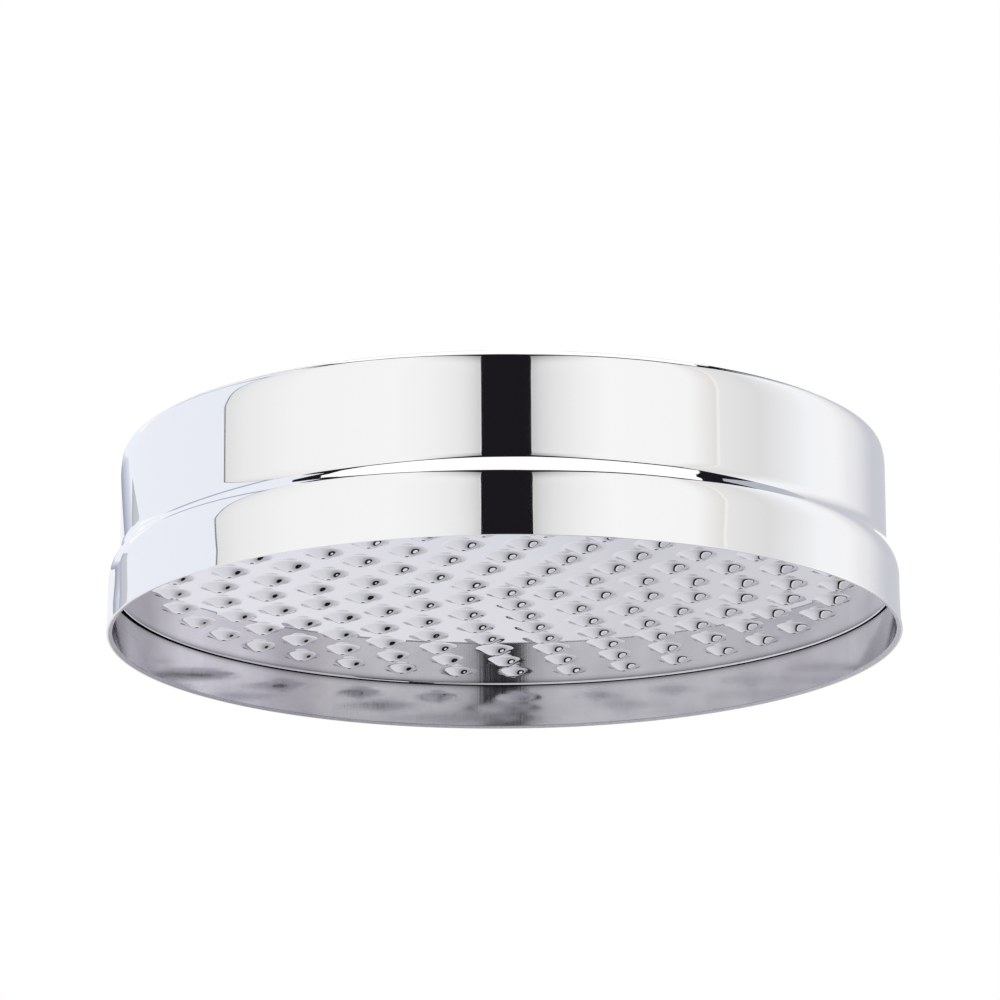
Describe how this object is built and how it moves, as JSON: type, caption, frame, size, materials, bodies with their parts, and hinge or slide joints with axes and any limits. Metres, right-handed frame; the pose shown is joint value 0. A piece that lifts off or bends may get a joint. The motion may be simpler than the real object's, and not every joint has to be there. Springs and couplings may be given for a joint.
{
  "type": "rain shower head",
  "caption": "Round drum-shaped rain shower head with a stepped, flared skirt, a recessed spray plate of pressed conical jets and a threaded inlet in its flat top.",
  "frame": {"origin": "centre of the rim, on the plane that the rim rests on", "axes": "+Z along the drum's axis, up from the rim to the inlet; +Y away from the picture's camera"},
  "size_m": [0.2006, 0.2006, 0.06],
  "materials": {
    "shell_chrome": "polished chrome plate outside, brushed inside the skirt",
    "plate_chrome": "mirror polished chrome plate",
    "boss_chrome": "turned and chrome plated",
    "strainer_steel": "plain stainless sheet",
    "washer_rubber": "matt black rubber"
  },
  "bodies": {
    "root": {"drum_shell": "shell_chrome", "spray_plate": "plate_chrome", "inlet_boss": "boss_chrome", "filter_screen": "strainer_steel", "inlet_washer": "washer_rubber"}
  },
  "joints": []
}
